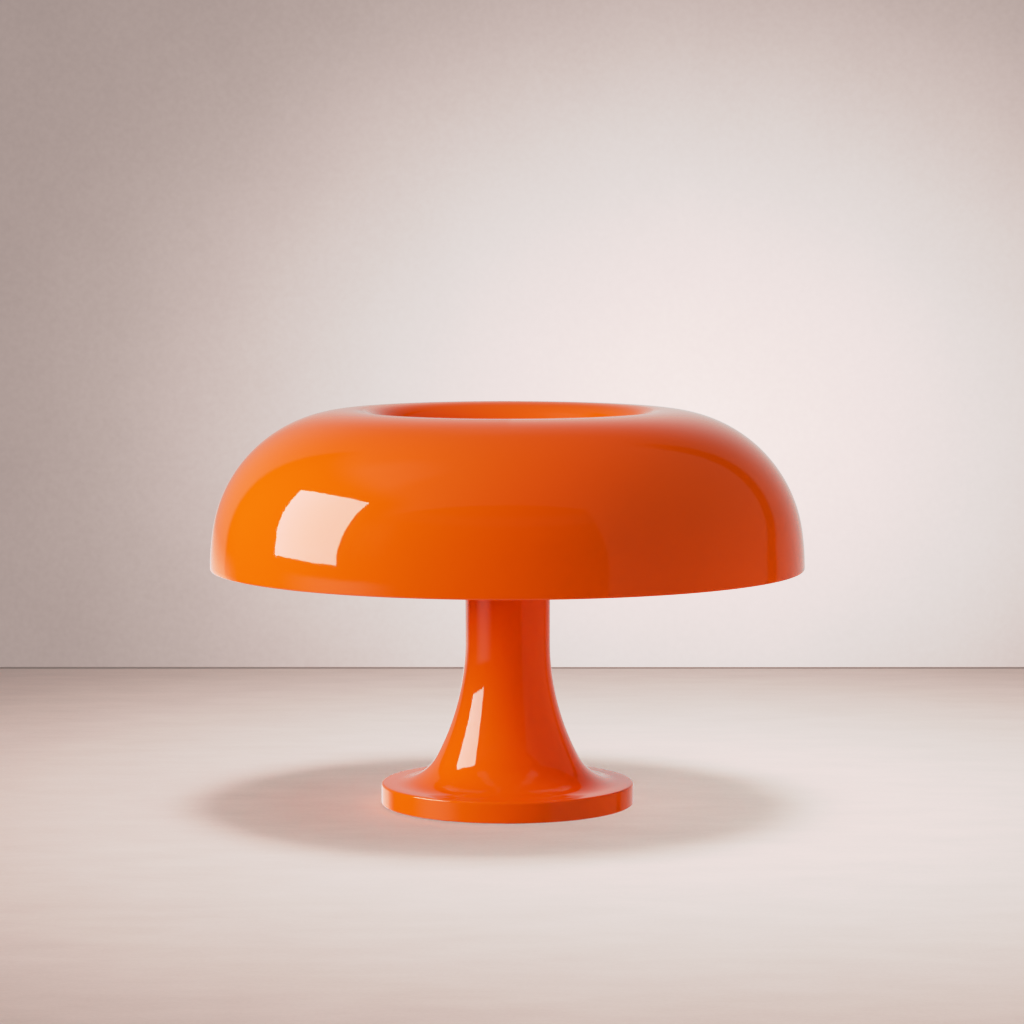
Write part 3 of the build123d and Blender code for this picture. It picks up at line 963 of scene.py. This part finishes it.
def alongHolder(angle):
    # carries z onto the holder's axis, outwards, and x onto straight down
    raised = Matrix.Translation((0, 0, bulb["axisHeight"]))
    return raised @ aboutAxis(angle) @ Matrix.Rotation(math.radians(90), 4, "Y")


def makeHolderBody():
    h = holder
    return turned([
        (h["leadHole"], h["back"]), (h["radius"], h["back"]), (h["radius"], h["waistStart"]),
        (h["waist"], h["waistStart"] + h["slope"]), (h["waist"], h["waistEnd"] - h["slope"]),
        (h["radius"], h["waistEnd"]), (h["radius"], h["mouth"]), (h["shellSeat"], h["mouth"]),
        (h["shellSeat"], h["shellStart"]), (h["chamber"], h["shellStart"]),
        (h["chamber"], h["chamberStart"]), (h["leadHole"], h["chamberStart"]),
    ], h["ease"], h["turnSteps"])


def makeGlobe():
    # from the neck's end over the globe to its crown, and back inside the wall
    b = bulb
    neck, globe, wall = b["neck"], b["globe"], b["glassWall"]
    outer, inner = b["outerSteps"], b["innerSteps"]
    swell = (b["neckLength"] ** 2 / (globe - neck) - globe - neck) / 2
    sweep = 90 - math.degrees(math.atan2(neck + swell, b["neckLength"]))
    globeCentre = (0, b["globeCentre"])
    swellCentre = (neck + swell, b["globeCentre"] - b["neckLength"])
    bm = bmesh.new()
    tip = startOutline(bm, neck, b["neckStart"])
    tip = lineTo(bm, tip, neck, swellCentre[1])
    tip = arcAbout(bm, tip, swellCentre, -sweep, outer["swell"])
    tip = arcAbout(bm, tip, globeCentre, 90 + sweep, outer["globe"])
    tip = lineTo(bm, tip, 0, b["globeCentre"] + globe - wall)
    tip = arcAbout(bm, tip, globeCentre, -90 - sweep, inner["globe"])
    tip = arcAbout(bm, tip, swellCentre, sweep, inner["swell"])
    tip = lineTo(bm, tip, neck - wall, b["neckStart"])
    lineTo(bm, tip, neck, b["neckStart"])
    turnOutline(bm, b["turnSteps"])
    return bm


def makeCap():
    b = bulb
    start, end = b["threadStart"], b["threadEnd"]
    base = turned([
        (b["tip"], b["capStart"]), (b["capRadius"] / 2, b["capStart"]),
        (b["capRoot"], start - b["baseStep"]), (b["capRoot"], start), (b["tip"], start),
    ], b["baseEase"])
    wound = screwThread(
        b["neck"] - b["threadWall"], b["capRoot"], b["capRadius"], b["threadPitch"],
        start, end, b["threadSteps"]
    )
    skirt = ring(b["neck"] + b["skirtFit"], b["capRadius"], end, b["capEnd"], b["skirtEase"])
    return together([base, wound, skirt])


def makeLights():
    for number, angle in enumerate(diagonals, 1):
        for name, bm, node, body in (
            ("lampholder", makeHolderBody(), "holder", "stand"),
            ("opal_globe", makeGlobe(), "bulb_glass", f"bulb_{number}"),
            ("threaded_cap", makeCap(), "bulb_cap", f"bulb_{number}"),
        ):
            placed = moved(bm, alongHolder(angle))
            addPiece(f"{name}_{number}", placed, f"{node}_{number}", body)


makeKnob()
makeTube()
makeRings()
makeSeat()
makeNuts()
print("middle pieces made")
makeLights()
makeScrews()
makeFeet()
print("lampholders, bulbs and small pieces made")


# how bright the room is each way, as the lamp mirrors it: dark front, grey screen on the right,
# pale wall behind, dim ceiling. Each pair is where a patch fades in or out, in degrees
room = {
    "front": ((-60, -44), (37.5, 39.5)),
    "lidSlope": 1.303,
    "lidEdge": (-0.01, 0.03),
    "ceilingEdge": (44, 56),
    "ceilingLevel": 0.10,
    "ceilingLeft": 0.12,
    "ceilingFade": (-0.2, 0.9),
    "slant": 0.5,
    "slantTop": 60,
    "screenEnd": (116, 119),
    "screenLevel": 0.10,
    "rightWall": (124, 128),
    "rightWallFade": (126, 170),
    "rightWallLevels": (0.16, 0.55),
    "leftWall": (-141, -137),
    "leftWallFade": (-180, -165),
    "leftWallLevels": (0.34, 0.26),
    "wallDim": 0.6,
    "wallDimFade": (14, 48),
    "wallLevel": 1.08,
    "haze": ((-136, -126), (-112, -60)),
    "hazeLevel": 0.006,
    "strip": ((-62, -56), (-50, -44)),
    "stripFoot": (8, 24),
    "stripLevel": 0.025,
    "band": ((34, 36), (42, 44)),
    "bandLevel": 0.035,
    "halo": ((-125, -105), (-80, -62)),
    "haloHeight": ((48, 58), (62, 80)),
    "haloLevel": 0.2,
    "glow": ((-98, -72), (-64, -40)),
    "glowLevel": 0.7,
    "lowGlow": (-141, -125),
    "lowGlowTop": (-9, -1),
    "lowGlowLevel": 1.1,
    "floorLevel": 0.3,
    "floorPatch": ((-130, -90), (-70, -20)),
    "floorPatchLevel": 0.8,
    "floorBack": (120, 170),
    "floorBackLevel": 0.2,
    "floorEdge": (-26, -14),
    "horizon": (-2.5, -0.5),
}


def span(value, edges):
    # 1 inside, fading in over the first pair and out over the second
    return value.between(*edges[0]) * (1 - value.between(*edges[1]))


def surroundings(wire, way):
    # az runs from the camera's side (0) towards +X, el is the height above level, in degrees
    r = room
    x, y, z = way.split()
    az = wire.maths("ARCTAN2", x, y * -1) * math.degrees(1)
    el = wire.maths("ARCSINE", z) * math.degrees(1)
    front = span(az, r["front"])
    overhead = (z + r["lidSlope"] * y).between(*r["lidEdge"]) * front
    overhead = overhead + el.between(*r["ceilingEdge"]) * (1 - front)
    ceiling = r["ceilingLevel"] + r["ceilingLeft"] * (x * -1).between(*r["ceilingFade"])
    slant = az - el.clamp(0, r["slantTop"]) * r["slant"]
    screen = az.between(*r["front"][1]) * (1 - slant.between(*r["screenEnd"])) * r["screenLevel"]
    level, more = r["rightWallLevels"]
    rightWall = slant.between(*r["rightWall"]) * (level + more * slant.between(*r["rightWallFade"]))
    level, more = r["leftWallLevels"]
    leftWall = level + more * (1 - az.between(*r["leftWallFade"]))
    leftWall = (1 - az.between(*r["leftWall"])) * leftWall
    walls = (rightWall + leftWall) * (1 - r["wallDim"] * el.between(*r["wallDimFade"]))
    haze = span(az, r["haze"]) * r["hazeLevel"]
    strip = span(az, r["strip"]) * el.between(*r["stripFoot"]) * r["stripLevel"]
    band = front * span(el, r["band"]) * r["bandLevel"]
    halo = span(az, r["halo"]) * span(el, r["haloHeight"]) * r["haloLevel"]
    upper = (screen + walls * r["wallLevel"] + haze + strip + band) * (1 - overhead)
    upper = upper + ceiling * overhead + halo
    lowGlow = (1 - az.between(*r["lowGlow"])) * (1 - el.between(*r["lowGlowTop"]))
    glow = span(az, r["glow"]) * r["glowLevel"] + lowGlow * r["lowGlowLevel"]
    back = wire.maths("ABSOLUTE", az).between(*r["floorBack"])
    floor = r["floorLevel"] + r["floorPatchLevel"] * span(az, r["floorPatch"])
    floor = floor + r["floorBackLevel"] * back
    aboveFloor = el.between(*r["floorEdge"])
    low = (upper + glow) * aboveFloor + floor * (1 - aboveFloor)
    aboveLevel = el.between(*r["horizon"])
    return upper * aboveLevel + low * (1 - aboveLevel)


# the wall as the camera sees it: a soft glow behind the lamp, off its axis
wallLook = {
    "colour": (1.0, 0.80, 0.745),
    "glowColour": (1.0, 0.70, 0.655),
    "centre": (0.052, -0.063),
    "spread": (0.075, 0.063),
    "least": 0.37,
    "glow": 1.6,
    "mottle": 0.03,
    "mottleDepth": 0.12,
    "paper": 0.0016,
    "paperDepth": 0.1,
    "ambientColour": (1.0, 0.96, 0.92),
}


def makeWorld():
    w = wallLook
    world = bpy.data.worlds.new("studio")
    bpy.context.scene.world = world
    world.use_nodes = True
    world.node_tree.nodes.clear()
    wire = Wire(world.node_tree)
    way = wire.node("ShaderNodeTexCoord", None, None, "Generated")
    x, y, z = way.split()
    aside = (x - w["centre"][0]) / w["spread"][0]
    above = (z - w["centre"][1]) / w["spread"][1]
    glow = wire.maths("EXPONENT", (aside * aside + above * above) * -0.5) * y.between(0, 0.5)
    mottle = (noise(wire, way, w["mottle"], 4, 0.6) - 0.5) * w["mottleDepth"]
    paper = (noise(wire, way, w["paper"], 1) - 0.5) * w["paperDepth"]
    pale = (glow * w["glow"] + w["least"]) * (1 + mottle + paper)
    colour = glow.mixed((*w["colour"], 1), (*w["glowColour"], 1))
    backdrop = wire.node("ShaderNodeBackground", None, {"Color": colour, "Strength": pale})
    light = wire.node("ShaderNodeBackground", None, {
        "Color": (*w["ambientColour"], 1),
        "Strength": surroundings(wire, way).clamp(0, 2),
    })
    seen = wire.node("ShaderNodeLightPath", None, None, "Is Camera Ray")
    both = wire.node("ShaderNodeMixShader", None, {0: seen, 1: light, 2: backdrop})
    wire.node("ShaderNodeOutputWorld", None, {"Surface": both})


floorLook = {
    "half": 0.564,
    "colour": (0.90, 0.72, 0.67),
    "tones": (0.8, 1.16),
    "patch": 0.06,
    "stretch": (1, 2.5, 1),
    "grain": 0.0022,
    "grainShare": 0.3,
    # painted shade along the floor's back edge: where its dark line fades in, measured from the
    # edge, and how dark it gets
    "corner": (0.012, 0.008),
    "wallShadeTone": 0.55,
    "rough": 0.8,
    "specular": 0.2,
}


def makeFloor():
    f = floorLook
    material, wire = startMaterial("pale_floor")
    place = objectPlace(wire)
    drift = noise(wire, objectPlace(wire, f["stretch"]), f["patch"], 5, 0.65)
    grain = noise(wire, place, f["grain"], 2)
    tone = (drift * (1 - f["grainShare"]) + grain * f["grainShare"]).clamp()
    least, most = (Vector(f["colour"]) * share for share in f["tones"])
    plaster = tone.mixed((*least, 1), (*most, 1))
    # painted shade: a dark line where the floor meets the wall
    corner = place.split()[1].between(*(f["half"] - width for width in f["corner"]))
    shader = wire.node("ShaderNodeBsdfPrincipled", None, {
        "Base Color": corner.mixed(plaster, (*(Vector(f["colour"]) * f["wallShadeTone"]), 1)),
        "Roughness": f["rough"],
        "Specular IOR Level": f["specular"],
    })
    finishMaterial(wire, shader)
    bm = bmesh.new()
    bmesh.ops.create_grid(bm, x_segments=1, y_segments=1, size=f["half"])
    mesh = bpy.data.meshes.new("floor")
    bm.to_mesh(mesh)
    bm.free()
    floor = bpy.data.objects.new("floor", mesh)
    mesh.materials.append(material)
    bpy.context.scene.collection.objects.link(floor)
    floor.visible_glossy = False
    return floor


softbox = {
    "place": (-0.723, -0.135, 0.406),
    "facing": (0.812, 0.398, -0.427),
    "size": (0.465, 0.492),
    "radiance": 11.5,
}

lampMiddle = Vector((0, 0, 0.1))

# level is how bright each makes white held square to it by the lamp
farLights = {
    "fill": {"place": (-2.1, -1.15, 0.95), "size": (1.3, 1.1), "level": 0.9, "floor": False},
    "side": {"place": (2.2, 0.3, 0.6), "size": (1.4, 1.2), "level": 0.37, "floor": False},
    "overhead": {"place": (0, -0.2, 2.1), "size": (1.6, 1.6), "level": 0.35, "floor": True},
}

# a soft oval of light on the floor alone, part of it without shadows
pool = {
    "place": (0.10, 0.0, 1.6),
    "reach": (0.46, 0.72),
    "softness": 0.34,
    "lights": {
        "floor_pool": {"power": 118.0, "colour": (1.0, 0.72, 0.70), "shadow": True},
        "floor_lift": {"power": 80.0, "colour": (0.73, 1.0, 0.98), "shadow": False},
    },
}

lightColour = (1.0, 0.93, 0.89)


def softLight(name, place, facing, size, radiance, reflected=False):
    lamp = bpy.data.lights.new(name, "AREA")
    lamp.shape = "RECTANGLE"
    lamp.size, lamp.size_y = size
    lamp.energy = radiance * math.pi * size[0] * size[1]
    lamp.color = lightColour
    made = bpy.data.objects.new(name, lamp)
    made.location = place
    made.rotation_euler = Vector(facing).to_track_quat("-Z", "Y").to_euler()
    made.visible_camera = False
    made.visible_glossy = reflected
    bpy.context.scene.collection.objects.link(made)
    return made


def farLight(name, place, size, level):
    reach = lampMiddle - Vector(place)
    radiance = level * math.pi * reach.length_squared / (size[0] * size[1])
    return softLight(name, place, reach, size, radiance)


def poolLight(name, look):
    across, along = pool["reach"]
    lamp = bpy.data.lights.new(name, "SPOT")
    lamp.spot_size = 2 * math.atan(along / pool["place"][2])
    lamp.spot_blend = 1.0
    lamp.shadow_soft_size = pool["softness"]
    lamp.energy, lamp.color, lamp.use_shadow = look["power"], look["colour"], look["shadow"]
    made = bpy.data.objects.new(name, lamp)
    made.location = pool["place"]
    made.scale = (across / along, 1, 1)
    made.visible_camera = made.visible_glossy = False
    bpy.context.scene.collection.objects.link(made)
    return made


def lightFor(light, floor, state):
    # a light that leaves the floor out, or lights nothing else
    receivers = bpy.data.collections.new(light.name + "_receivers")
    light.light_linking.receiver_collection = receivers
    receivers.objects.link(floor)
    receivers.collection_objects[0].light_linking.link_state = state


def makeStudio():
    makeWorld()
    floor = makeFloor()
    lightFor(softLight("softbox", reflected=True, **softbox), floor, "EXCLUDE")
    for name, look in farLights.items():
        lamp = farLight(name, look["place"], look["size"], look["level"])
        if not look["floor"]:
            lightFor(lamp, floor, "EXCLUDE")
    for name, look in pool["lights"].items():
        lightFor(poolLight(name, look), floor, "INCLUDE")


photoCamera = {
    "distance": 1.856,
    "height": 0.3205,
    "aside": 0.0024,
    "pitch": 4.977,
    "lens": 121.5,
    "sensor": 36.0,
}


def makeCamera():
    c = photoCamera
    data = bpy.data.cameras.new("photo_camera")
    data.lens, data.sensor_width, data.sensor_fit = c["lens"], c["sensor"], "HORIZONTAL"
    camera = bpy.data.objects.new("photo_camera", data)
    camera.location = (c["aside"], -c["distance"], c["height"])
    camera.rotation_euler = (math.radians(90 - c["pitch"]), 0, 0)
    bpy.context.scene.collection.objects.link(camera)
    bpy.context.scene.camera = camera


tone = {
    "top": 4.0,
    "curve": [(0.25, 0.25), (0.5, 0.5), (0.65, 0.61), (0.8, 0.68), (1.0, 0.735), (1.2, 0.775),
              (1.4, 0.82), (1.7, 0.87), (2.1, 0.92), (3.0, 0.98)],
}


def setTone():
    # a soft shoulder, as a camera gives bright orange
    view = bpy.context.scene.view_settings
    view.view_transform = "Standard"
    view.use_curve_mapping = True
    view.curve_mapping.white_level = [tone["top"]] * 3
    for value, shown in tone["curve"]:
        view.curve_mapping.curves[3].points.new(value / tone["top"], shown)
    view.curve_mapping.update()


makeStudio()
makeCamera()
setTone()
print("studio made")

bpy.context.view_layer.update()
